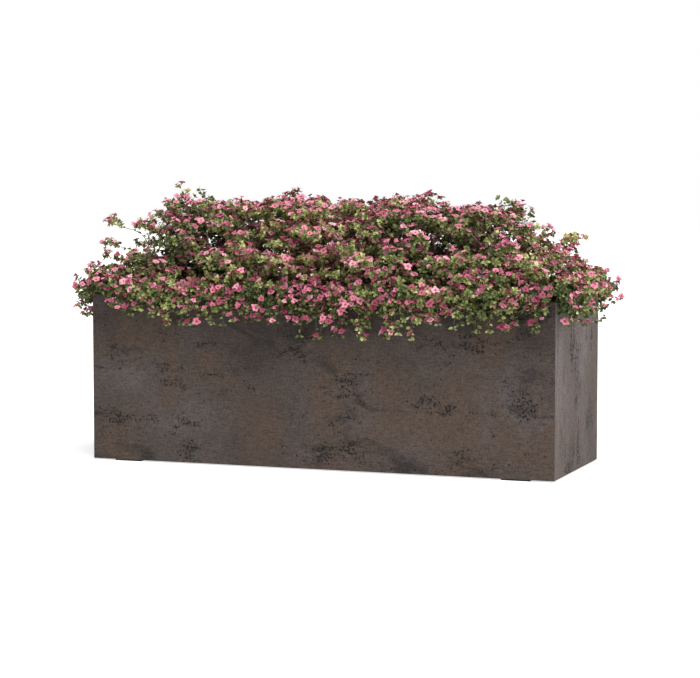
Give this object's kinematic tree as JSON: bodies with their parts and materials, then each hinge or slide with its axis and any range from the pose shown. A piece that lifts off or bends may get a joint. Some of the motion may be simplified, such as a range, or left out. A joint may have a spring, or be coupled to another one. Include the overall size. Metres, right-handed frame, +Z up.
{
  "type": "planter box",
  "caption": "Long rectangular street planter of dark mitred concrete panels, with a lift-out steel liner that holds gravel, soil and a row of pink-flowering shrubs.",
  "frame": {"origin": "on the ground at the middle of the box's footprint", "axes": "+X to the right along the long front, +Y from the front to the rear, +Z up"},
  "size_m": [1.38, 0.54, 0.696],
  "materials": {
    "concrete": "matte",
    "slab": "matte",
    "galvanised": "satin",
    "stainless": "satin",
    "coated_sheet": "satin",
    "pad_rubber": "matte",
    "pipe_plastic": "matte",
    "gravel": "matte",
    "fleece": "matte",
    "compost": "matte",
    "bark": "matte",
    "leaves": "satin",
    "petals": "matte"
  },
  "bodies": {
    "planter_box": {"base_slab": "slab", "front_angle_screw_1": "stainless", "front_angle_screw_2": "stainless", "front_angle_screw_3": "stainless", "front_angle_screw_4": "stainless", "front_base_ledge": "galvanised", "front_ledge_screw_1": "stainless", "front_ledge_screw_2": "stainless", "front_left_bearing_pad": "pad_rubber", "front_left_corner_angle": "galvanised", "front_panel": "concrete", "front_right_bearing_pad": "pad_rubber", "front_right_corner_angle": "galvanised", "left_end_angle_screw_1": "stainless", "left_end_angle_screw_2": "stainless", "left_end_angle_screw_3": "stainless", "left_end_angle_screw_4": "stainless", "left_end_panel": "concrete", "rear_angle_screw_1": "stainless", "rear_angle_screw_2": "stainless", "rear_angle_screw_3": "stainless", "rear_angle_screw_4": "stainless", "rear_base_ledge": "galvanised", "rear_ledge_screw_1": "stainless", "rear_ledge_screw_2": "stainless", "rear_left_bearing_pad": "pad_rubber", "rear_left_corner_angle": "galvanised", "rear_panel": "concrete", "rear_right_bearing_pad": "pad_rubber", "rear_right_corner_angle": "galvanised", "right_end_angle_screw_1": "stainless", "right_end_angle_screw_2": "stainless", "right_end_angle_screw_3": "stainless", "right_end_angle_screw_4": "stainless", "right_end_panel": "concrete"},
    "planting_insert": {"drainage_gravel": "gravel", "filter_fleece": "fleece", "left_bracket_rivet_1": "galvanised", "left_bracket_rivet_2": "galvanised", "left_drain_outlet": "pipe_plastic", "left_drain_strainer": "pipe_plastic", "left_lifting_bracket": "galvanised", "liner_tub": "coated_sheet", "right_bracket_rivet_1": "galvanised", "right_bracket_rivet_2": "galvanised", "right_drain_outlet": "pipe_plastic", "right_drain_strainer": "pipe_plastic", "right_lifting_bracket": "galvanised", "shrub_1_crown": "leaves", "shrub_1_roots_and_stems": "bark", "shrub_2_crown": "leaves", "shrub_2_roots_and_stems": "bark", "shrub_3_crown": "leaves", "shrub_3_roots_and_stems": "bark", "shrub_4_crown": "leaves", "shrub_4_roots_and_stems": "bark", "shrub_5_crown": "leaves", "shrub_5_roots_and_stems": "bark", "soil": "compost"}
  },
  "joints": [
    {"name": "insert_lift", "type": "slide", "parent": "planter_box", "child": "planting_insert", "axis": [0, 0, 1], "range_m": [0, 0.42]}
  ]
}
